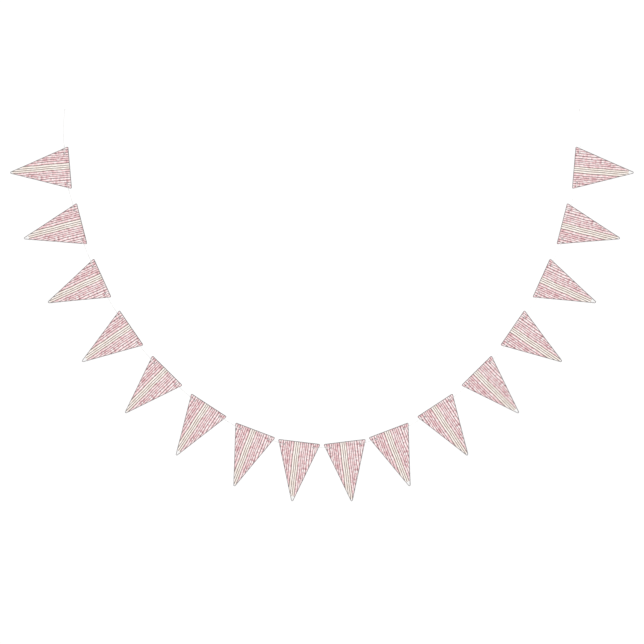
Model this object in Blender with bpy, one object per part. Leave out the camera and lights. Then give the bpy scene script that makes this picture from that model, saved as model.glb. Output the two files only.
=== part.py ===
"""Bunting: sixteen triangular cloth pennants threaded on one string, laid flat in a U.

Metres, +Z up. The pennants lie on the surface z = 0 with their printed side up and their tips
pointing out of the U. The origin is below the middle of the pennants' box, on that surface.
"""
import math

import bmesh
import bpy
from mathutils import Matrix, Vector

# A pennant, in its own frame: the top edge runs along X through the origin, the tip is at -Y.
PENNANT_WIDTH = 0.165
PENNANT_HEIGHT = 0.240        # to the sharp corner, before the tip is rounded
TIP_RADIUS = 0.004
CORNER_RADIUS = 0.004
CORNER_SEGMENTS = 5
CLOTH = 0.0012

# The overlocked edge is a little thicker than the cloth.
EDGE_WIDTH = 0.0030
EDGE_SLOPE = 0.0006           # the strip in which the edge falls to the cloth's thickness
EDGE_RISE = 0.0005

# The holes that the string is threaded through.
HOLE_SPACING = 0.116
HOLE_DROP = 0.0164            # below the top edge
HOLE_RADIUS = 0.0035
HOLE_FIELD = 0.0047           # half the side of the square of cloth that the hole is cut in
HOLE_STEP = math.radians(22.5)    # from one corner of the sixteen-sided hole to the next

# The string, and the soft ridge that it raises in each pennant between the two holes.
STRING_DIAMETER = 0.0015
STRING_REST = 0.0008          # height of its middle where it lies on the surface
STRING_OVER = 0.0036          # height of its middle over a pennant's corner
STRING_UNDER_END = 0.0543     # from the pennant's middle line to where it starts to rise
STRING_OVER_PLACE = 0.0680    # from the pennant's middle line to where it is highest
STRING_FALL = 0.0876          # its steepest fall into a gap, which keeps it clear of the edge
RIDGE_HEIGHT = 0.0019
RIDGE_REACH = 0.0120
RIDGE_SHOULDER = 0.0080       # where the ridge's steep middle turns into its flat foot

# The free ends of the string, each with a knot that keeps it from fraying.
TAIL_LANDING = 0.034          # from the highest place to where the tail meets the surface
TAIL_STEP = 0.040
TAIL_STEPS = 3
TAIL_BEND = math.radians(3.3)     # inward, at each step
KNOT_WIDTH = 0.0042
KNOT_NECK = 0.0012            # the length in which the string swells to the knot
KNOT_LENGTH = 0.0052          # with its neck

# Right half of the U, from the middle outward: where the middle of each top edge lies, and how
# far the pennant leans outward. The left half mirrors it.
PLACES = (
    # across, up, lean in degrees
    (0.0876, -0.4545, 6.9),
    (0.2573, -0.4096, 20.8),
    (0.4364, -0.3130, 33.2),
    (0.5974, -0.1788, 44.8),
    (0.7367, -0.0134, 55.5),
    (0.8485, 0.1794, 65.7),
    (0.9282, 0.3892, 75.6),
    (0.9747, 0.6057, 85.1),
)

CLOTH_COLOR = (0.745, 0.578, 0.571)
STRING_COLOR = (0.86, 0.85, 0.83)


def clear_scene():
    for obj in list(bpy.data.objects):
        bpy.data.objects.remove(obj, do_unlink=True)


def make_material(name, color, roughness):
    material = bpy.data.materials.new(name)
    material.use_nodes = True
    shader = material.node_tree.nodes["Principled BSDF"]
    shader.inputs["Base Color"].default_value = (*color, 1.0)
    shader.inputs["Roughness"].default_value = roughness
    shader.inputs["Metallic"].default_value = 0.0
    return material


def round_corner(bm, corner, radius):
    """Round one corner of the flat outline to the given radius."""
    spokes = [edge.other_vert(corner).co - corner.co for edge in corner.link_edges]
    tangent = radius / math.tan(spokes[0].angle(spokes[1]) / 2)
    bmesh.ops.bevel(bm, geom=[corner], offset=tangent, affect='VERTICES',
                    segments=CORNER_SEGMENTS, profile=0.5, material=-1)


def cut_outline(bm):
    """The flat triangle with its three rounded corners."""
    half = PENNANT_WIDTH / 2
    left = bm.verts.new((-half, 0, 0))
    tip = bm.verts.new((0, -PENNANT_HEIGHT, 0))
    right = bm.verts.new((half, 0, 0))
    bm.faces.new((left, tip, right))
    round_corner(bm, left, CORNER_RADIUS)
    round_corner(bm, right, CORNER_RADIUS)
    round_corner(bm, tip, TIP_RADIUS)


def mark_edge(bm):
    """Split off the overlocked edge and note how far its top rises. Returns the panel."""
    rise = bm.verts.layers.float.new("rise")
    panel = bm.faces[:]
    bmesh.ops.inset_region(bm, faces=panel, thickness=EDGE_WIDTH - EDGE_SLOPE,
                           use_even_offset=True)
    for vert in bm.verts:
        vert[rise] = EDGE_RISE
    bmesh.ops.inset_region(bm, faces=panel, thickness=EDGE_SLOPE, use_even_offset=True)
    for vert in panel[0].verts:
        vert[rise] = 0.0
    return panel


def cut_line(bm, faces, point, normal):
    """Cut the given faces along one straight line and return all their pieces."""
    edges = {edge for face in faces for edge in face.edges}
    verts = {vert for face in faces for vert in face.verts}
    cut = bmesh.ops.bisect_plane(bm, geom=list(faces) + list(edges) + list(verts),
                                 plane_co=point, plane_no=normal)
    return [item for item in cut["geom"] if isinstance(item, bmesh.types.BMFace)]


def strip(faces, reach):
    """Those of the faces that lie within the reach of the line through both holes."""
    return [face for face in faces if abs(face.calc_center_median().y + HOLE_DROP) < reach]


def cut_ridge_lines(bm, panel):
    """Rows along the string's ridge, and columns through the holes across those rows."""
    inner = HOLE_FIELD * math.tan(HOLE_STEP)
    for reach in (RIDGE_REACH, RIDGE_SHOULDER, HOLE_FIELD, inner, 0.0):
        for offset in sorted({-reach, reach}):
            panel = cut_line(bm, panel, (0, offset - HOLE_DROP, 0), (0, 1, 0))
    panel = strip(panel, RIDGE_REACH)
    for side in (-1, 1):
        for offset in (-HOLE_FIELD, HOLE_FIELD):
            panel = cut_line(bm, panel, (side * HOLE_SPACING / 2 + offset, 0, 0), (1, 0, 0))
    panel = strip(panel, HOLE_FIELD)
    for side in (-1, 1):
        for offset in (-inner, 0.0, inner):
            panel = cut_line(bm, panel, (side * HOLE_SPACING / 2 + offset, 0, 0), (1, 0, 0))


def cut_hole(bm, middle):
    """A sixteen-sided round hole in the square field of cloth around the given point."""
    field = []
    for face in bm.faces:
        offset = face.calc_center_median() - middle
        if max(abs(offset.x), abs(offset.y)) < HOLE_FIELD:
            field.append(face)
    field = bmesh.ops.dissolve_faces(bm, faces=field)["region"]
    bmesh.ops.inset_individual(bm, faces=field, thickness=HOLE_FIELD / 4)
    for vert in field[0].verts:
        vert.co = middle + (vert.co - middle).normalized() * HOLE_RADIUS
    bmesh.ops.delete(bm, geom=field, context='FACES_ONLY')


def ridge_height(place):
    """How far the string below lifts the cloth at a point of the pennant."""
    across = abs(place.y + HOLE_DROP) / RIDGE_REACH
    if across >= 1:
        return 0.0
    along = (abs(place.x) - HOLE_SPACING / 2 + HOLE_RADIUS) / (2 * HOLE_RADIUS)
    along = min(max(along, 0.0), 1.0)
    return RIDGE_HEIGHT * math.cos(across * math.pi / 2) ** 2 * (1 - along)


def thicken(bm):
    """Give the flat cloth its thickness, its raised edge and its ridge."""
    rise = bm.verts.layers.float["rise"]
    grown = bmesh.ops.extrude_face_region(bm, geom=bm.faces[:])["geom"]
    top = [item for item in grown if isinstance(item, bmesh.types.BMVert)]
    for vert in top:
        vert.co.z += CLOTH + vert[rise]
    for vert in bm.verts:
        vert.co.z += ridge_height(vert.co)
    bmesh.ops.triangulate(bm, faces=bm.faces[:])
    bmesh.ops.recalc_face_normals(bm, faces=bm.faces[:])


def pennant_mesh():
    bm = bmesh.new()
    cut_outline(bm)
    cut_ridge_lines(bm, mark_edge(bm))
    for side in (-1, 1):
        cut_hole(bm, Vector((side * HOLE_SPACING / 2, -HOLE_DROP, 0)))
    thicken(bm)
    mesh = bpy.data.meshes.new("pennant")
    bm.to_mesh(mesh)
    bm.free()
    return mesh


def pennant_frames():
    """Each pennant's frame in the U, from the left end to the right end."""
    right = [Matrix.Translation((across, up, 0)) @ Matrix.Rotation(math.radians(lean), 4, 'Z')
             for across, up, lean in PLACES]
    left = [Matrix.Translation((-across, up, 0)) @ Matrix.Rotation(-math.radians(lean), 4, 'Z')
            for across, up, lean in reversed(PLACES)]
    return left + right


def add_pennants(frames):
    mesh = pennant_mesh()
    mesh.materials.append(make_material("printed_cloth", CLOTH_COLOR, 0.85))
    for number, frame in enumerate(frames, 1):
        pennant = bpy.data.objects.new(f"pennant_{number:02d}", mesh)
        pennant.matrix_world = frame
        bpy.context.collection.objects.link(pennant)


def string_through(frame):
    """The four bends of the string at one pennant: over, under, under, over."""
    bends = ((-STRING_OVER_PLACE, STRING_OVER), (-STRING_UNDER_END, STRING_REST),
             (STRING_UNDER_END, STRING_REST), (STRING_OVER_PLACE, STRING_OVER))
    return [frame @ Vector((across, -HOLE_DROP, height)) for across, height in bends]


def string_between(start, end):
    """Where the string is lowest between two pennants."""
    middle = (start + end) / 2
    middle.z = max(STRING_REST, STRING_OVER - STRING_FALL * (middle - start).length)
    return middle


def string_tail(frame, side):
    """The free end beyond an outermost pennant, from the pennant to the knot's two ends."""
    place = frame @ Vector((side * (STRING_OVER_PLACE + TAIL_LANDING), -HOLE_DROP, STRING_REST))
    heading = frame.to_3x3() @ Vector((side, 0, 0))
    points = [place]
    for _ in range(TAIL_STEPS):
        heading = Matrix.Rotation(side * TAIL_BEND, 3, 'Z') @ heading
        place = place + heading * TAIL_STEP
        points.append(place)
    lift = Vector((0, 0, (KNOT_WIDTH - STRING_DIAMETER) / 2))
    return points + [place + heading * KNOT_NECK + lift, place + heading * KNOT_LENGTH + lift]


def string_route(frames):
    """The string's points from its left free end to its right free end."""
    route = list(reversed(string_tail(frames[0], -1)))
    route += string_through(frames[0])
    for frame in frames[1:]:
        bends = string_through(frame)
        route.append(string_between(route[-1], bends[0]))
        route += bends
    return route + string_tail(frames[-1], 1)


def add_string(frames):
    curve = bpy.data.curves.new("string", 'CURVE')
    curve.dimensions = '3D'
    curve.bevel_depth = STRING_DIAMETER / 2
    curve.bevel_resolution = 2
    curve.use_fill_caps = True
    route = string_route(frames)
    spline = curve.splines.new('POLY')
    spline.points.add(len(route) - 1)
    for point, place in zip(spline.points, route):
        point.co = (*place, 1.0)
    for end in (0, 1, -2, -1):
        spline.points[end].radius = KNOT_WIDTH / STRING_DIAMETER
    curve.materials.append(make_material("white_string", STRING_COLOR, 0.8))
    bpy.context.collection.objects.link(bpy.data.objects.new("string", curve))


clear_scene()
pennant_places = pennant_frames()
add_pennants(pennant_places)
add_string(pennant_places)
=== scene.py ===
import math
import random
import bmesh
import bpy
from mathutils import Matrix, Vector, noise


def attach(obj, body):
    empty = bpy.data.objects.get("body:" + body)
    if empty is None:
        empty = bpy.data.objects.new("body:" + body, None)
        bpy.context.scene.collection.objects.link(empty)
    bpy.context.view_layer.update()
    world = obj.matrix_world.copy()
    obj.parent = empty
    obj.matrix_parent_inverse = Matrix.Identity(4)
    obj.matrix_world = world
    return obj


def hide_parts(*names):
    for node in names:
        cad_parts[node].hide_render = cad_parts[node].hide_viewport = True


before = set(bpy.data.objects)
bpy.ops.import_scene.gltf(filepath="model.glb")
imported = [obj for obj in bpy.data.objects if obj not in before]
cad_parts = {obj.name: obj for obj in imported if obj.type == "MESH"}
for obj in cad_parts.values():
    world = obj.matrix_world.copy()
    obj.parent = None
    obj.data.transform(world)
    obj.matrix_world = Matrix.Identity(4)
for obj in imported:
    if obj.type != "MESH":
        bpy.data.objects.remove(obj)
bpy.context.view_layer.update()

# Lengths are in metres. A pennant's own frame has its top edge along X and its tip at -Y.
pennant = {
    "width": 0.165,
    "height": 0.240,         # to the sharp corner, before rounding
    "rounding": 0.004,
    "holeSpacing": 0.116,
    "holeDrop": 0.0164,      # below the top edge
    "holeRadius": 0.0035,
    "cell": 0.0024,          # about the size of a face of the cloth
}

# Right half of the U, from the middle outward: across, up, lean outward in degrees.
places = [
    (0.0876, -0.4545, 6.9),
    (0.2573, -0.4096, 20.8),
    (0.4364, -0.3130, 33.2),
    (0.5974, -0.1788, 44.8),
    (0.7367, -0.0134, 55.5),
    (0.8485, 0.1794, 65.7),
    (0.9282, 0.3892, 75.6),
    (0.9747, 0.6057, 85.1),
]


def pennantFrames():
    right = [Matrix.Translation((x, y, 0)) @ Matrix.Rotation(math.radians(lean), 4, "Z")
             for x, y, lean in places]
    left = [Matrix.Translation((-x, y, 0)) @ Matrix.Rotation(-math.radians(lean), 4, "Z")
            for x, y, lean in reversed(places)]
    return left + right


pennantAt = pennantFrames()


def smoothStep(low, high, value):
    t = min(max((value - low) / (high - low), 0.0), 1.0)
    return t * t * (3 - 2 * t)


def addObject(name, data):
    obj = bpy.data.objects.new(name, data)
    bpy.context.collection.objects.link(obj)
    return obj


def meshFrom(bm, name):
    mesh = bpy.data.meshes.new(name)
    bm.to_mesh(mesh)
    bm.free()
    return mesh


def takeMesh(obj):
    # the mesh of a curve object, which is then removed
    bpy.context.view_layer.update()
    mesh = bpy.data.meshes.new_from_object(obj.evaluated_get(bpy.context.evaluated_depsgraph_get()))
    bpy.data.objects.remove(obj)
    return mesh


def dress(mesh, materials):
    mesh.materials.clear()
    for material in materials:
        mesh.materials.append(material)


# camera

cameraSettings = {
    "lens": 100,
    "sensor": 36,
    "seenWidth": 2.492,               # of the surface, over the photo's whole frame
    "aim": Vector((0.0003, 0.0085, 0)),
}


def addCamera(settings):
    data = bpy.data.cameras.new("camera")
    data.lens = settings["lens"]
    data.sensor_width = settings["sensor"]
    camera = addObject("camera", data)
    distance = settings["seenWidth"] * settings["lens"] / settings["sensor"]
    camera.location = settings["aim"] + Vector((0, 0, distance))
    bpy.context.scene.camera = camera


addCamera(cameraSettings)
print("camera: straight above the laid bunting")


# materials: small helpers for node trees

def feed(tree, socket, value):
    # the value is another node's socket, a colour or a plain number
    if isinstance(value, bpy.types.NodeSocket):
        tree.links.new(value, socket)
    elif isinstance(value, tuple):
        socket.default_value = (*value, 1.0)
    else:
        socket.default_value = value


def calc(tree, operation, *values):
    node = tree.nodes.new("ShaderNodeMath")
    node.operation = operation
    for socket, value in zip(node.inputs, values):
        feed(tree, socket, value)
    return node.outputs[0]


def ramp(tree, value, low, high, toLow=0.0, toHigh=1.0):
    node = tree.nodes.new("ShaderNodeMapRange")
    node.interpolation_type = "SMOOTHSTEP"
    names = ("Value", "From Min", "From Max", "To Min", "To Max")
    for name, setting in zip(names, (value, low, high, toLow, toHigh)):
        feed(tree, node.inputs[name], setting)
    return node.outputs["Result"]


def softBand(tree, value, middle, soft, before, after):
    # changes from one number to another within a soft reach around the middle
    return ramp(tree, value, middle - soft, middle + soft, before, after)


def blendColor(tree, factor, first, second, mode="MIX"):
    node = tree.nodes.new("ShaderNodeMix")
    node.data_type = "RGBA"
    node.blend_type = mode
    for socket, value in ((node.inputs[0], factor), (node.inputs[6], first), (node.inputs[7], second)):
        feed(tree, socket, value)
    return node.outputs[2]


def noiseAt(tree, across, along, detail):
    place = tree.nodes.new("ShaderNodeCombineXYZ")
    for socket, value in zip(place.inputs, (across, along)):
        feed(tree, socket, value)
    node = tree.nodes.new("ShaderNodeTexNoise")
    node.noise_dimensions = "2D"
    node.inputs["Scale"].default_value = 1.0
    node.inputs["Detail"].default_value = detail
    tree.links.new(place.outputs[0], node.inputs["Vector"])
    return node.outputs["Fac"]


def newGroup(name, inputs, outputs):
    tree = bpy.data.node_groups.new(name, "ShaderNodeTree")
    for label, kind in inputs:
        tree.interface.new_socket(label, in_out="INPUT", socket_type=kind)
    for label, kind in outputs:
        tree.interface.new_socket(label, in_out="OUTPUT", socket_type=kind)
    return tree, tree.nodes.new("NodeGroupInput").outputs, tree.nodes.new("NodeGroupOutput").inputs


def useGroup(tree, group, **values):
    node = tree.nodes.new("ShaderNodeGroup")
    node.node_tree = group
    for name, value in values.items():
        feed(tree, node.inputs[name], value)
    return node.outputs


def clothPlace(tree):
    # UV of a pennant, turned into millimetres across and down from the top edge
    uv = tree.nodes.new("ShaderNodeUVMap")
    uv.uv_map = "place"
    split = tree.nodes.new("ShaderNodeSeparateXYZ")
    tree.links.new(uv.outputs[0], split.inputs[0])
    fromMiddle = calc(tree, "SUBTRACT", split.outputs[0], 0.5)
    fromTop = calc(tree, "SUBTRACT", 1.0, split.outputs[1])
    return (calc(tree, "MULTIPLY", fromMiddle, pennant["width"] * 1000),
            calc(tree, "MULTIPLY", fromTop, pennant["height"] * 1000))


# weave: plain woven threads, as a height for the bump and a faint shade, with lengths in millimetres.
# The shade is painted shade in the grooves between threads and a painted highlight on their crowns,
# beside the threads' own slubs and darker warp.

weave = {
    "pitch": 0.75,           # from thread to thread
    "slub": 0.35,            # width of the fine streaks in the threads
    "slubRate": 0.06,        # how fast they change down the pennant, per millimetre
    "slubHeight": 0.4,       # beside the height of a thread
    "rounding": 0.5,         # how far a thread sinks towards its sides
    "shadedTone": 0.87,            # painted shade in the grooves between threads
    "crownHighlight": 0.20,       # painted highlight: how much lighter the crowns are
    "slubTone": 0.08,
    "warpTone": 0.03,        # how much darker the warp is
    "ragged": 2.6,           # how far apart the dye ends in neighbouring threads
    "uneven": 0.09,          # how much more or less dye a thread took up
}


def makeWeaveGroup():
    tree, given, out = newGroup("plainWeave",
                                [("Across", "NodeSocketFloat"), ("Down", "NodeSocketFloat")],
                                [("Height", "NodeSocketFloat"), ("Shade", "NodeSocketFloat")])
    turn = math.pi / weave["pitch"]
    warp = calc(tree, "SINE", calc(tree, "MULTIPLY", given["Across"], turn))
    weft = calc(tree, "SINE", calc(tree, "MULTIPLY", given["Down"], turn))
    warpOver = calc(tree, "GREATER_THAN", calc(tree, "MULTIPLY", warp, weft), 0.0)
    acrossWarp, acrossWeft = calc(tree, "ABSOLUTE", warp), calc(tree, "ABSOLUTE", weft)
    # each crossing is a rounded brick, upright where the warp lies over and level where the weft does
    sunk, rest = weave["rounding"], 1 - weave["rounding"]
    upright = calc(tree, "MULTIPLY", acrossWarp, calc(tree, "MULTIPLY_ADD", acrossWeft, sunk, rest))
    level = calc(tree, "MULTIPLY", acrossWeft, calc(tree, "MULTIPLY_ADD", acrossWarp, sunk, rest))
    brick = calc(tree, "ADD", calc(tree, "MULTIPLY", upright, warpOver),
                 calc(tree, "MULTIPLY", level, calc(tree, "SUBTRACT", 1.0, warpOver)))
    slub = noiseAt(tree, calc(tree, "MULTIPLY", given["Across"], 1 / weave["slub"]),
                   calc(tree, "MULTIPLY", given["Down"], weave["slubRate"]), 1.0)
    tree.links.new(calc(tree, "MULTIPLY_ADD", slub, weave["slubHeight"], brick), out["Height"])
    # the shade: painted shade in the grooves and a painted highlight on the crowns, with the slubs' and
    # the warp's own tone
    shadedTone = calc(tree, "MULTIPLY_ADD", slub, weave["slubTone"], weave["shadedTone"])
    shadedTone = calc(tree, "MULTIPLY_ADD", brick, weave["crownHighlight"], shadedTone)
    warpShade = calc(tree, "MULTIPLY", warpOver, weave["warpTone"])
    tree.links.new(calc(tree, "SUBTRACT", shadedTone, warpShade), out["Shade"])
    return tree


weaveGroup = makeWeaveGroup()

# print: uneven pinstripes over streaks of white and pink, with a cream band beside the middle line.
# Lengths are in millimetres, and a rate says how fast something changes per millimetre.

printing = {
    "pitch": 8.3,            # from line to line, on average
    "unevenness": 1.4,       # how far a line strays from its even place
    "unevenRate": 0.045,
    "line": 1.2,             # half of a line's width
    "soft": 0.18,            # how soft its edges are
    "phase": 3.2,            # how far the middle line lies to the left
    "wander": 0.4,           # sideways drift of a line along the pennant
    "wanderRate": 0.02,
    "streaks": 2,            # between one line and the next
    "runRate": 0.06,         # of a streak's pink down the pennant
    "runShare": 0.72,        # of the pink that changes along a streak; the rest is steady
    "pinker": 0.05,          # how much pinker every other streak is
    "blushRange": (0.42, 0.60),
    "markRates": (0.075, 0.11),    # of the darker bars, across and down
    "markRange": (0.53, 0.65),
    "markOnWhite": 0.4,      # strength of a bar on white, beside pink
    "markDepth": 0.8,
    "faintRange": (0.35, 0.62),
    "faintLine": 0.78,       # the least strength of a line
    "bandLines": (-2, 1),    # the cream band's first and last line, counted from the middle
    "bandSoft": 0.05,        # in line pitches
    "end": 224.0,            # how far down the print reaches
    "endSoft": 0.4,
    # numbers that keep the noises apart
    "strayRow": 3.0,
    "steadyRow": 7.0,
    "runSeed": 5.37,
    "steadySeed": 3.91,
    "uptakeSeed": 0.37,
    # colours
    "white": (0.97, 0.865, 0.858),
    "blush": (0.84, 0.56, 0.573),
    "rose": (0.60, 0.295, 0.325),
    "ivory": (0.985, 0.912, 0.862),
    "cream": (0.86, 0.745, 0.675),
    "ink": (0.14, 0.083, 0.088),
    "sepia": (0.075, 0.065, 0.05),
    "bare": (0.86, 0.855, 0.85),
}


def chanceAt(tree, value):
    node = tree.nodes.new("ShaderNodeTexWhiteNoise")
    node.noise_dimensions = "1D"
    tree.links.new(value, node.inputs["W"])
    return node.outputs["Value"]


def stray(tree, value, rate, reach):
    # a smooth push sideways, up to the reach either way: the noise stays within 0.25 of its middle
    wave = noiseAt(tree, printing["strayRow"], calc(tree, "MULTIPLY", value, rate), 0.0)
    return calc(tree, "MULTIPLY", calc(tree, "SUBTRACT", wave, 0.5), 4 * reach)


def makePrintGroup():
    p = printing
    tree, given, out = newGroup("stripePrint",
                                [("Across", "NodeSocketFloat"), ("Down", "NodeSocketFloat")],
                                [("Color", "NodeSocketColor")])
    across, down = given["Across"], given["Down"]
    pushed = calc(tree, "ADD", across, stray(tree, down, p["wanderRate"], p["wander"]))
    pushed = calc(tree, "ADD", pushed, stray(tree, across, p["unevenRate"], p["unevenness"]))
    place = calc(tree, "DIVIDE", calc(tree, "ADD", pushed, p["phase"]), p["pitch"])
    part = calc(tree, "FRACT", place)
    nearer = calc(tree, "MINIMUM", part, calc(tree, "SUBTRACT", 1.0, part))
    line = softBand(tree, calc(tree, "MULTIPLY", nearer, p["pitch"]), p["line"], p["soft"], 1.0, 0.0)
    # each thread has its own share of dye, and its dye starts and ends at its own place
    thread = calc(tree, "FLOOR", calc(tree, "DIVIDE", across, weave["pitch"]))
    ragged = calc(tree, "SUBTRACT", chanceAt(tree, thread), 0.5)
    dyed = calc(tree, "ADD", down, calc(tree, "MULTIPLY", ragged, weave["ragged"]))
    uptake = chanceAt(tree, calc(tree, "ADD", thread, p["uptakeSeed"]))
    uptake = calc(tree, "MULTIPLY", calc(tree, "SUBTRACT", uptake, 0.5), weave["uneven"])
    # the streaks between one line and the next, each with its own runs of pink down the pennant
    streak = calc(tree, "FLOOR", calc(tree, "MULTIPLY", place, p["streaks"]))
    run = noiseAt(tree, calc(tree, "MULTIPLY", streak, p["runSeed"]),
                  calc(tree, "MULTIPLY", dyed, p["runRate"]), 1.0)
    steady = noiseAt(tree, calc(tree, "MULTIPLY", streak, p["steadySeed"]), p["steadyRow"], 0.0)
    mottle = calc(tree, "ADD", calc(tree, "MULTIPLY", run, p["runShare"]),
                  calc(tree, "MULTIPLY", steady, 1 - p["runShare"]))
    mottle = calc(tree, "ADD", mottle, uptake)
    pinker = calc(tree, "MULTIPLY", calc(tree, "FLOORED_MODULO", streak, 2.0), p["pinker"])
    blush = ramp(tree, calc(tree, "ADD", mottle, pinker), *p["blushRange"])
    # darker bars that cross one streak each, with ragged ends
    bar = calc(tree, "MULTIPLY", calc(tree, "ADD", streak, 0.5), p["pitch"] / p["streaks"])
    acrossRate, downRate = p["markRates"]
    mark = noiseAt(tree, calc(tree, "MULTIPLY", bar, acrossRate),
                   calc(tree, "MULTIPLY", dyed, downRate), 1.0)
    strength = calc(tree, "MULTIPLY_ADD", blush, 1 - p["markOnWhite"], p["markOnWhite"])
    rose = calc(tree, "MULTIPLY", ramp(tree, mark, *p["markRange"]), strength)
    first, last = p["bandLines"]
    inBand = calc(tree, "MULTIPLY", softBand(tree, place, first, p["bandSoft"], 0.0, 1.0),
                  softBand(tree, place, last, p["bandSoft"], 1.0, 0.0))
    ground = blendColor(tree, blush, p["white"], p["blush"])
    ground = blendColor(tree, calc(tree, "MULTIPLY", rose, p["markDepth"]), ground, p["rose"])
    ground = blendColor(tree, inBand, ground, blendColor(tree, blush, p["ivory"], p["cream"]))
    pen = blendColor(tree, inBand, p["ink"], p["sepia"])
    depth = calc(tree, "MAXIMUM", ramp(tree, mark, *p["faintRange"], p["faintLine"], 1.0), inBand)
    inked = blendColor(tree, calc(tree, "MULTIPLY", line, depth), ground, pen)
    printed = softBand(tree, down, p["end"], p["endSoft"], 1.0, 0.0)
    tree.links.new(blendColor(tree, printed, p["bare"], inked), out["Color"])
    return tree


printGroup = makePrintGroup()


def newMaterial(name, roughness, sheen=0.0):
    material = bpy.data.materials.new(name)
    material.use_nodes = True
    shader = material.node_tree.nodes["Principled BSDF"]
    shader.inputs["Roughness"].default_value = roughness
    shader.inputs["Sheen Weight"].default_value = sheen
    return material, material.node_tree, shader


def addBump(tree, shader, height, look):
    bump = tree.nodes.new("ShaderNodeBump")
    bump.inputs["Strength"].default_value = look["bumpStrength"]
    bump.inputs["Distance"].default_value = look["bumpDistance"]
    tree.links.new(height, bump.inputs["Height"])
    tree.links.new(bump.outputs[0], shader.inputs["Normal"])


clothLook = {
    "roughness": 0.86,
    "sheen": 0.08,
    "bumpStrength": 0.7,
    "bumpDistance": 0.00007,
    "shift": 11.0,           # how much higher every other pennant's print ends, in millimetres
    "backShow": 0.28,        # how much of the print is seen through the back
}


def clothMaterial(name, shift, show):
    material, tree, shader = newMaterial(name, clothLook["roughness"], clothLook["sheen"])
    across, down = clothPlace(tree)
    threads = useGroup(tree, weaveGroup, Across=across, Down=down)
    dye = useGroup(tree, printGroup, Across=across, Down=calc(tree, "ADD", down, shift))
    color = blendColor(tree, show, printing["bare"], dye["Color"])
    # the weave's shade darkens the grooves and lightens the crowns, as painted shade and a painted
    # highlight
    color = blendColor(tree, 1.0, color, threads["Shade"], "MULTIPLY")
    tree.links.new(color, shader.inputs["Base Color"])
    addBump(tree, shader, threads["Height"], clothLook)
    return material


clothFace, clothBack = [], []
for ending, shift in (("Low", 0.0), ("High", clothLook["shift"])):
    clothFace.append(clothMaterial("printedFace" + ending, shift, 1.0))
    clothBack.append(clothMaterial("clothBack" + ending, shift, clothLook["backShow"]))

threadLook = {
    "roughness": 0.7,
    "sheen": 0.15,
    "bumpStrength": 0.5,
    "bumpDistance": 0.00006,
    "fibreScale": 900,
    "fibreTone": 0.4,        # how far a thread's fibres differ in tone
    # colours in the grooves, darkened as painted shade, and on the crowns, lighter as a painted
    # highlight
    "grey": ((0.10, 0.087, 0.090), (0.29, 0.262, 0.267)),
    "rose": ((0.10, 0.035, 0.042), (0.30, 0.12, 0.135)),
    "white": ((0.80, 0.79, 0.775), (0.985, 0.98, 0.97)),
}


def threadMaterial(name, shadedGroove, crown):
    # the rib attribute is 1 on the crown of a thread and 0 in the groove beside it. The colour runs
    # from the groove's, with painted shade, to the crown's, with a painted highlight.
    material, tree, shader = newMaterial(name, threadLook["roughness"], threadLook["sheen"])
    rib = tree.nodes.new("ShaderNodeAttribute")
    rib.attribute_name = "rib"
    coords = tree.nodes.new("ShaderNodeTexCoord")
    fibre = tree.nodes.new("ShaderNodeTexNoise")
    fibre.inputs["Scale"].default_value = threadLook["fibreScale"]
    tree.links.new(coords.outputs["Object"], fibre.inputs["Vector"])
    fine = calc(tree, "SUBTRACT", fibre.outputs["Fac"], 0.5)
    fine = calc(tree, "MULTIPLY", fine, threadLook["fibreTone"])
    shadedTone = ramp(tree, calc(tree, "ADD", rib.outputs["Fac"], fine), 0.0, 1.0)
    tree.links.new(blendColor(tree, shadedTone, shadedGroove, crown), shader.inputs["Base Color"])
    addBump(tree, shader, fibre.outputs["Fac"], threadLook)
    return material


edgeThread = threadMaterial("greyThread", *threadLook["grey"])
rimThread = threadMaterial("roseThread", *threadLook["rose"])
stringThread = threadMaterial("whiteString", *threadLook["white"])
print("materials: printed cloth, cloth back, grey and rose thread, white string")


# string: one twisted cord through all the pennants

string = {
    "diameter": 0.0015,
    "rest": 0.0008,          # height of its middle on the surface
    "over": 0.0036,          # height of its middle over a pennant's corner
    "underEnd": 0.0543,      # from the pennant's middle line to where it starts to rise
    "overPlace": 0.0680,     # from the pennant's middle line to where it is highest
    "fall": 0.0876,          # its steepest fall into a gap
    "tailLanding": 0.034,    # from the highest place to where a free end meets the surface
    "tailStep": 0.040,
    "tailSteps": 3,
    "tailBend": math.radians(3.3),    # inward, at each step
    "strands": 3,
    "lobe": 0.12,            # how far each strand bulges, in radii of the string
    "body": 0.92,            # middle radius of the twisted strands, in the same
    "sidesPerStrand": 4,
    "lay": 0.0055,           # length of one turn of its strands
    "stepLength": 0.0008,
    "softening": 20,         # passes that ease its bends
}

knot = {
    "width": 0.0042,
    "clear": 0.00006,        # between the knot and the surface
    "neck": 0.0012,          # from the string's last bend on; the winding starts halfway along it
    "length": 0.0052,        # from that bend to the string's end
    "rise": 0.010,           # in which the string climbs to the middle of the knot
    "wrap": 0.00128,         # thickness of the string where it is wound tight
    "turns": 2.6,
    "tuck": 0.6,             # turns in which each end of the winding goes under
    "tuckedRadius": 0.45,    # of its ends, beside the winding's own
    "stepLength": 0.0004,
    "fibres": 26,
    "fibreWidth": 0.00016,
    "fibreLength": 0.0028,
    "fibreSteps": 6,
    "fibreShortest": 0.5,    # beside the longest
    "fibreRoot": 0.25,       # share of a fibre that lies inside the string
    "fibrePlaces": (0.1, 0.9),    # innermost and outermost, beside the bundle's radius
    "fibreBundle": 0.45,     # radius of the bundle, in diameters of the string
    "fibreFlare": 1.3,
    "fibreCurl": 0.3,
    "fibreSag": 0.0005,
    "fibreTaper": 0.6,
    "fibreRib": 0.8,         # the fibres' colour, between the groove's painted shade and the crown's painted highlight
}

# how far the middle of a knot lies above the middle of the string on the surface
knotLift = (knot["width"] - string["diameter"]) / 2


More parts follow.
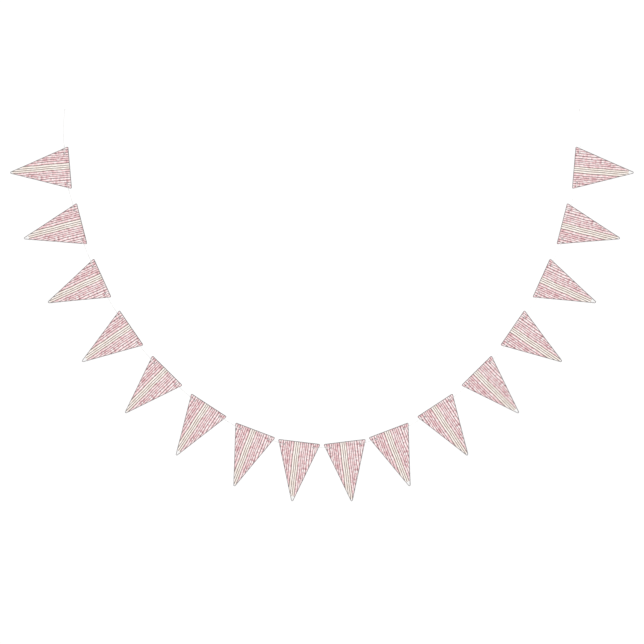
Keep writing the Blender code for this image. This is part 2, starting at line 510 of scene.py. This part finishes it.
def stringThrough(at):
    bends = ((-string["overPlace"], string["over"]), (-string["underEnd"], string["rest"]),
             (string["underEnd"], string["rest"]), (string["overPlace"], string["over"]))
    return [at @ Vector((x, -pennant["holeDrop"], z)) for x, z in bends]


def stringBetween(start, end):
    middle = (start + end) / 2
    middle.z = max(string["rest"], string["over"] - string["fall"] * (middle - start).length)
    return middle


def stringTail(at, side):
    spot = at @ Vector((side * (string["overPlace"] + string["tailLanding"]), -pennant["holeDrop"],
                        string["rest"]))
    heading = at.to_3x3() @ Vector((side, 0, 0))
    points = [spot]
    for _ in range(string["tailSteps"]):
        heading = Matrix.Rotation(side * string["tailBend"], 3, "Z") @ heading
        spot = spot + heading * string["tailStep"]
        points.append(spot)
    lift = Vector((0, 0, knotLift))
    return points + [spot + heading * knot["neck"] + lift, spot + heading * knot["length"] + lift]


def stringRoute():
    route = list(reversed(stringTail(pennantAt[0], -1)))
    route += stringThrough(pennantAt[0])
    for at in pennantAt[1:]:
        bends = stringThrough(at)
        route.append(stringBetween(route[-1], bends[0]))
        route += bends
    return route + stringTail(pennantAt[-1], 1)


def evenSteps(route, step):
    # points at even steps along the route, with its corners eased
    points = []
    for start, end in zip(route, route[1:]):
        count = max(1, round((end - start).length / step))
        points += [start.lerp(end, i / count) for i in range(count)]
    points.append(route[-1])
    for _ in range(string["softening"]):
        eased = [(a + b * 2 + c) / 4 for a, b, c in zip(points, points[1:], points[2:])]
        points = [points[0]] + eased + [points[-1]]
    return points


def easeRise(points):
    # lets the string climb softly from the surface to the middle of the knot at each end
    near, far = knot["length"], knot["length"] + knot["rise"]
    for ordered in (points, points[::-1]):
        for point in ordered:
            passed = (point.xy - ordered[0].xy).length
            if passed > far:
                break
            point.z = string["rest"] + knotLift * (1 - smoothStep(near, far, passed))


def closedProfile(corners, name):
    curve = bpy.data.curves.new(name, "CURVE")
    curve.dimensions = "2D"
    spline = curve.splines.new("POLY")
    spline.points.add(len(corners) - 1)
    for point, corner in zip(spline.points, corners):
        point.co = (*corner, 0, 1)
    spline.use_cyclic_u = True
    return addObject(name, curve)


def strandCorners(radius):
    # section of a twisted cord: one lobe for each strand
    count = string["strands"] * string["sidesPerStrand"]
    corners = []
    for i in range(count):
        turn = 2 * math.pi * i / count
        reach = radius * (string["body"] + string["lobe"] * math.cos(string["strands"] * turn))
        corners.append((reach * math.cos(turn), reach * math.sin(turn)))
    return corners


def sweep(points, corners, name, cyclic=False, flat=False, tilts=None):
    # a mesh swept along the points, with its rings in order
    profile = closedProfile(corners, name + "Profile")
    curve = bpy.data.curves.new(name, "CURVE")
    curve.dimensions = "2D" if flat else "3D"
    curve.bevel_mode = "OBJECT"
    curve.bevel_object = profile
    curve.use_fill_caps = not cyclic
    curve.twist_mode = "MINIMUM"
    spline = curve.splines.new("POLY")
    spline.points.add(len(points) - 1)
    for i, (point, place) in enumerate(zip(spline.points, points)):
        point.co = (*place, 1)
        point.tilt = tilts[i] if tilts else 0.0
    spline.use_cyclic_u = cyclic
    mesh = takeMesh(addObject(name + "Path", curve))
    bpy.data.objects.remove(profile)
    mesh.name = name
    return mesh


def turnOutward(mesh):
    # welds the end caps of a swept mesh to its sides and turns all its faces outward
    bm = bmesh.new()
    bm.from_mesh(mesh)
    bmesh.ops.remove_doubles(bm, verts=bm.verts[:], dist=1e-6)
    bmesh.ops.recalc_face_normals(bm, faces=bm.faces[:])
    bm.to_mesh(mesh)
    bm.free()


def markRibs(mesh, ribs):
    # notes for the threads' materials how near each vertex is to a crown, for their painted shade in
    # the grooves and painted highlight on the crowns
    attribute = mesh.attributes.new("rib", "FLOAT", "POINT")
    for item, rib in zip(attribute.data, ribs):
        item.value = rib


def crownAt(turns):
    # 1 on a crown and 0 halfway to the next
    return 0.5 + 0.5 * math.cos(2 * math.pi * turns)


def twistedTube(points, width, step, name):
    # the string's strands twisted along the points
    corners = strandCorners(width / 2)
    turn = 2 * math.pi * step / string["lay"]
    mesh = sweep(points, corners, name, tilts=[turn * i for i in range(len(points))])
    markRibs(mesh, [crownAt(string["strands"] * (i % len(corners)) / len(corners))
                    for i in range(len(mesh.vertices))])
    turnOutward(mesh)
    mesh.shade_smooth()
    return mesh


def windingPoints(at):
    # the turns of a knot around the string, with both ends tucked under, in the knot's frame
    radius = (knot["width"] - knot["wrap"]) / 2
    total = 2 * math.pi * knot["turns"]
    tuck = 2 * math.pi * knot["tuck"]
    count = round(total * radius / knot["stepLength"])
    points = []
    for i in range(count + 1):
        angle = total * i / count
        out = smoothStep(0, tuck, angle) * smoothStep(0, tuck, total - angle)
        along = knot["neck"] / 2 + knot["wrap"] * angle / (2 * math.pi)
        reach = radius * (knot["tuckedRadius"] + (1 - knot["tuckedRadius"]) * out)
        points.append(at @ Vector((along, reach * math.cos(angle), reach * math.sin(angle))))
    return points


def fibreCurve(at, seed):
    # the loose fibres at the string's very end
    curve = bpy.data.curves.new("fibres", "CURVE")
    curve.dimensions = "3D"
    curve.bevel_depth = knot["fibreWidth"] / 2
    curve.bevel_resolution = 0
    curve.use_fill_caps = True
    chance = random.Random(seed)
    for _ in range(knot["fibres"]):
        turn, out = chance.uniform(0, 2 * math.pi), chance.uniform(*knot["fibrePlaces"])
        length = knot["fibreLength"] * chance.uniform(knot["fibreShortest"], 1.0)
        spline = curve.splines.new("POLY")
        spline.points.add(knot["fibreSteps"])
        for i, point in enumerate(spline.points):
            part = i / knot["fibreSteps"]
            wide = string["diameter"] * knot["fibreBundle"] * out * (1 + knot["fibreFlare"] * part ** 2)
            angle = turn + knot["fibreCurl"] * part ** 2 * math.sin(turn * 3)
            spot = at @ Vector((knot["length"] + length * (part - knot["fibreRoot"]),
                                wide * math.cos(angle), wide * math.sin(angle)))
            spot.z = max(spot.z - knot["fibreSag"] * part ** 2, knot["fibreWidth"])
            point.co = (*spot, 1)
            point.radius = 1 - knot["fibreTaper"] * part
    return curve


def addKnot(start, end, name, seed):
    # a small wound knot around the string's end, which runs from start to end
    along = Vector((*(end - start).xy, 0)).normalized()
    middle = Vector((*end.xy, knot["width"] / 2 + knot["clear"])) - along * knot["length"]
    at = Matrix.Translation(middle) @ along.to_track_quat("X", "Z").to_matrix().to_4x4()
    winding = twistedTube(windingPoints(at), knot["wrap"], knot["stepLength"], name)
    tuft = takeMesh(addObject(name + "Fibres", fibreCurve(at, seed)))
    markRibs(tuft, [knot["fibreRib"]] * len(tuft.vertices))
    turnOutward(tuft)
    bm = bmesh.new()
    for mesh in (winding, tuft):
        bm.from_mesh(mesh)
        bpy.data.meshes.remove(mesh)
    mesh = meshFrom(bm, name)
    dress(mesh, [stringThread])
    piece = addObject(name, mesh)
    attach(piece, "root")
    return piece


def addString():
    route = stringRoute()
    points = evenSteps(route, string["stepLength"])
    easeRise(points)
    mesh = twistedTube(points, string["diameter"], string["stepLength"], "string")
    dress(mesh, [stringThread])
    piece = addObject("stringCord", mesh)
    knots = [addKnot(route[2], route[0], "knotLeft", seed=3),
             addKnot(route[-3], route[-1], "knotRight", seed=4)]
    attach(piece, "root")
    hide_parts("string")


addString()


# cloth: the pennants' shape, cut flat in the pennant's own frame

cloth = {
    "thick": 0.0008,
    "trim": 0.0006,          # how far the cut edge lies inside the edging's outer side
    "rest": 0.00015,         # height of its underside on the surface
    "edgeLift": 0.0003,      # how far the edge's threads lift it
    "edgeReach": (0.002, 0.009),    # from the outline, where that lift starts to fall and ends
    "ridge": 0.0019,         # how far the string below lifts it
    "ridgeReach": 0.012,
    "looseFrom": (0.030, 0.080),    # below the top edge, where the cloth becomes uneven
    "ripple": 0.0007,
    "waves": (16, 12),       # of the ripples in a metre, across and down
    "rippleSeed": 3.7,
    "curlSeed": (1.9, 4.3),
    "curlFrom": (0.13, 0.24),       # below the top edge, where the tip starts to curl and ends
    "curl": 0.00198,         # most that the middle of a tip stands off the surface
    "arcSteps": 5,           # of a rounded corner of the cloth
    "pathSteps": 8,          # of a rounded corner of the thread around it
    "holeField": 0.0052,     # radius of the cloth that is made anew around a hole
    "holeRings": (0.0046, 0.0040),  # rings of vertices between it and the hole
    "holeInset": 0.0003,
    "sliver": 0.0001,        # edges shorter than this are merged
    "sharpAngle": 50,        # degrees
}


def cornerArcs():
    # each rounded corner as its arc's centre, first direction and turn
    half = pennant["width"] / 2
    corners = [Vector((-half, 0)), Vector((0, -pennant["height"])), Vector((half, 0))]
    arcs = []
    for i, corner in enumerate(corners):
        toLast = (corners[i - 1] - corner).normalized()
        toNext = (corners[(i + 1) % 3] - corner).normalized()
        reach = pennant["rounding"] / math.sin(toLast.angle(toNext) / 2)
        first = math.atan2(toLast.x, -toLast.y)
        last = math.atan2(-toNext.x, toNext.y)
        center = corner + (toLast + toNext).normalized() * reach
        arcs.append((center, first, (last - first) % (2 * math.pi)))
    return arcs


def outlinePath(inset, step):
    # points at even steps along the outline, moved inward by the inset
    radius = pennant["rounding"] - inset
    rough = []
    for center, first, turn in cornerArcs():
        for i in range(cloth["pathSteps"] + 1):
            angle = first + turn * i / cloth["pathSteps"]
            rough.append(center + radius * Vector((math.cos(angle), math.sin(angle))))
    rough.append(rough[0])
    lengths = [(b - a).length for a, b in zip(rough, rough[1:])]
    count = round(sum(lengths) / step)
    even = sum(lengths) / count
    points, passed, walked = [], 0.0, 0
    for start, end, length in zip(rough, rough[1:], lengths):
        while walked * even < passed + length - 1e-9:
            points.append(start.lerp(end, (walked * even - passed) / length))
            walked += 1
        passed += length
    return points[:count]


def fromSides(x, y):
    # distance inward from the nearest of the three sides
    half, height = pennant["width"] / 2, pennant["height"]
    slant = (half * height - height * abs(x) + half * y) / math.hypot(half, height)
    return min(-y, slant)


def ridgeLift(x, y):
    across = abs(y + pennant["holeDrop"]) / cloth["ridgeReach"]
    if across >= 1:
        return 0.0
    radius = pennant["holeRadius"]
    along = smoothStep(-radius, radius, abs(x) - pennant["holeSpacing"] / 2)
    return cloth["ridge"] * math.cos(across * math.pi / 2) ** 2 * (1 - along)


def looseLift(x, y, number):
    # soft unevenness of one pennant, away from the string, with its tip curled more at one side
    wavesAcross, wavesDown = cloth["waves"]
    wave = noise.noise(Vector((x * wavesAcross, y * wavesDown, number * cloth["rippleSeed"])))
    ripple = smoothStep(*cloth["looseFrom"], -y) * cloth["ripple"] * (0.5 + wave) ** 2
    curlStep, curlRow = cloth["curlSeed"]
    curl = cloth["curl"] * (0.5 + 0.5 * noise.noise(Vector((number * curlStep, curlRow, 0.0))))
    side = 1 if number % 3 else -1
    tip = smoothStep(*cloth["curlFrom"], -y) ** 2 * curl * (1 + side * x / pennant["width"])
    return ripple + tip


def cutHole(bm, middle):
    field = [face for face in bm.faces
             if (face.calc_center_median() - middle).length < cloth["holeField"]]
    field = bmesh.ops.dissolve_faces(bm, faces=field, use_verts=True)["region"]
    for radius in (*cloth["holeRings"], pennant["holeRadius"]):
        bmesh.ops.inset_individual(bm, faces=field, thickness=cloth["holeInset"])
        for vert in field[0].verts:
            vert.co = middle + (vert.co - middle).normalized() * radius
    bmesh.ops.delete(bm, geom=field, context="FACES_ONLY")


def clothGrid():
    # a grid of even cells, with lines through the middle and the holes, cut to the cloth's outline
    bm = bmesh.new()
    columns = 2 * math.ceil(pennant["width"] / 2 / pennant["cell"])
    cellX = pennant["holeSpacing"] / 2 / round(pennant["holeSpacing"] / 2 / pennant["cell"])
    cellY = pennant["holeDrop"] / round(pennant["holeDrop"] / pennant["cell"])
    rows = math.ceil(pennant["height"] / cellY)
    size = Matrix.Diagonal((columns * cellX / 2, rows * cellY / 2, 1, 1))
    bmesh.ops.create_grid(bm, x_segments=columns, y_segments=rows, size=1,
                          matrix=Matrix.Translation((0, -rows * cellY / 2, 0)) @ size)
    for center, first, turn in cornerArcs():
        for i in range(cloth["arcSteps"] + 1):
            angle = first + turn * i / cloth["arcSteps"]
            outward = Vector((math.cos(angle), math.sin(angle)))
            spot = center + outward * (pennant["rounding"] - cloth["trim"])
            bmesh.ops.bisect_plane(bm, geom=bm.verts[:] + bm.edges[:] + bm.faces[:], dist=1e-6,
                                   plane_co=(*spot, 0), plane_no=(*outward, 0), clear_outer=True)
    bmesh.ops.dissolve_degenerate(bm, dist=cloth["sliver"], edges=bm.edges[:])
    return bm


def makeCloth():
    bm = clothGrid()
    for side in (-1, 1):
        cutHole(bm, Vector((side * pennant["holeSpacing"] / 2, -pennant["holeDrop"], 0)))
    place = bm.loops.layers.uv.new("place")
    for face in bm.faces:
        for loop in face.loops:
            spot = loop.vert.co
            loop[place].uv = (spot.x / pennant["width"] + 0.5, 1 + spot.y / pennant["height"])
    grown = bmesh.ops.extrude_face_region(bm, geom=bm.faces[:], use_keep_orig=True)["geom"]
    for face in bm.faces:
        face.material_index = 1
    for item in grown:
        if isinstance(item, bmesh.types.BMVert):
            item.co.z += cloth["thick"]
        elif isinstance(item, bmesh.types.BMFace):
            item.material_index = 0
    for vert in bm.verts:
        edge = 1 - smoothStep(*cloth["edgeReach"], fromSides(vert.co.x, vert.co.y))
        vert.co.z += cloth["rest"] + cloth["edgeLift"] * edge + ridgeLift(vert.co.x, vert.co.y)
    bmesh.ops.recalc_face_normals(bm, faces=bm.faces[:])
    return meshFrom(bm, "clothShape")


def laidCopy(shape, name, number, materials):
    # one pennant's own copy of a shape, with that pennant's unevenness, at its place in the U
    mesh = shape.copy()
    mesh.name = name
    for vert in mesh.vertices:
        vert.co.z += looseLift(vert.co.x, vert.co.y, number)
    mesh.transform(pennantAt[number - 1])
    dress(mesh, materials)
    return addObject(name, mesh)


# edge and hole threads: dense stitches as a ribbed rope around the cloth's edge

edging = {
    "width": 0.0026,
    "height": 0.0016,
    "rib": 0.0012,           # from one stitch to the next
    "ringsPerRib": 3,
    "sides": 8,
    "slant": 0.6,            # in ribs, once around the edge
    "relief": 0.00010,
    "clear": 0.00002,        # between the edge and the surface
    "rimWidth": 0.0021,
    "rimHeight": 0.0010,
    "rimLift": 0.00005,      # above the middle of the cloth
    "rimRadius": 0.0037,
    "rimRibs": 22,
}


def ovalCorners(width, height):
    turns = [2 * math.pi * (i + 0.5) / edging["sides"] for i in range(edging["sides"])]
    return [(width / 2 * math.cos(turn), height / 2 * math.sin(turn)) for turn in turns]


def ribbedLoop(points, width, height, ribs, name):
    mesh = sweep([(*spot, 0) for spot in points], ovalCorners(width, height), name,
                 cyclic=True, flat=True)
    turnOutward(mesh)
    crowns = []
    for i in range(len(mesh.vertices)):
        ring, corner = divmod(i, edging["sides"])
        crowns.append(crownAt(ribs * ring / len(points) + edging["slant"] * corner / edging["sides"]))
    markRibs(mesh, crowns)
    normals = [vert.normal.copy() for vert in mesh.vertices]
    for vert, normal, crown in zip(mesh.vertices, normals, crowns):
        vert.co += normal * edging["relief"] * (crown - 1)
    mesh.shade_smooth()
    return mesh


def makeEdging():
    ribs = len(outlinePath(0, edging["rib"]))
    path = outlinePath(edging["width"] / 2, edging["rib"] / edging["ringsPerRib"])
    mesh = ribbedLoop(path, edging["width"], edging["height"], ribs, "edging")
    mesh.transform(Matrix.Translation((0, 0, edging["height"] / 2 + edging["clear"])))
    return mesh


def makeRims():
    # both stitched rims of one pennant, following the cloth around the holes
    bm = bmesh.new()
    steps = edging["rimRibs"] * edging["ringsPerRib"]
    turns = [2 * math.pi * i / steps for i in range(steps)]
    for side in (-1, 1):
        center = Vector((side * pennant["holeSpacing"] / 2, -pennant["holeDrop"]))
        circle = [center + edging["rimRadius"] * Vector((math.cos(turn), math.sin(turn)))
                  for turn in turns]
        mesh = ribbedLoop(circle, edging["rimWidth"], edging["rimHeight"], edging["rimRibs"], "rim")
        bm.from_mesh(mesh)
        bpy.data.meshes.remove(mesh)
    height = cloth["rest"] + cloth["thick"] / 2 + edging["rimLift"]
    for vert in bm.verts:
        vert.co.z += height + ridgeLift(vert.co.x, vert.co.y)
    return meshFrom(bm, "rims")


def addPennants():
    clothShape, edgingShape, rimShape = makeCloth(), makeEdging(), makeRims()
    clothShape.shade_smooth()
    clothShape.set_sharp_from_angle(angle=math.radians(cloth["sharpAngle"]))
    for number in range(1, len(pennantAt) + 1):
        tag = f"{number:02d}"
        high = (number + 1) % 2    # whether its print ends higher and leaves a bare tip
        sheet = laidCopy(clothShape, "cloth_" + tag, number, (clothFace[high], clothBack[high]))
        edge = laidCopy(edgingShape, "edging_" + tag, number, (edgeThread,))
        rims = laidCopy(rimShape, "rims_" + tag, number, (rimThread,))
        for piece in (sheet, edge, rims):
            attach(piece, "root")
        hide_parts("pennant_" + tag)
    for shape in (clothShape, edgingShape, rimShape):
        bpy.data.meshes.remove(shape)


addPennants()
print("pennants: cloth, edging and hole rims for", len(pennantAt))


# floor and light

studio = {
    "floorSize": 80.0,
    "floor": (0.95, 0.95, 0.95),
    "floorRoughness": 0.9,
    "sky": 0.72,
    "sunEnergy": 1.50,
    "sunAngle": 50,
    "sunTilt": (28, -22),    # degrees from straight above, about X and about Y
}


def addStudio():
    bm = bmesh.new()
    bmesh.ops.create_grid(bm, x_segments=1, y_segments=1, size=studio["floorSize"] / 2)
    floor = addObject("floor", meshFrom(bm, "floor"))
    material, _, shader = newMaterial("floorPaper", studio["floorRoughness"])
    shader.inputs["Base Color"].default_value = (*studio["floor"], 1)
    floor.data.materials.append(material)
    world = bpy.data.worlds.new("world")
    world.use_nodes = True
    sky = world.node_tree.nodes["Background"]
    sky.inputs["Color"].default_value = (1, 1, 1, 1)
    sky.inputs["Strength"].default_value = studio["sky"]
    bpy.context.scene.world = world
    light = bpy.data.lights.new("sun", "SUN")
    light.energy = studio["sunEnergy"]
    light.angle = math.radians(studio["sunAngle"])
    sun = addObject("sun", light)
    sun.rotation_euler = [math.radians(a) for a in studio["sunTilt"]] + [0]
    bpy.context.scene.view_settings.view_transform = "Standard"


addStudio()
print("studio: floor, sky and sun")
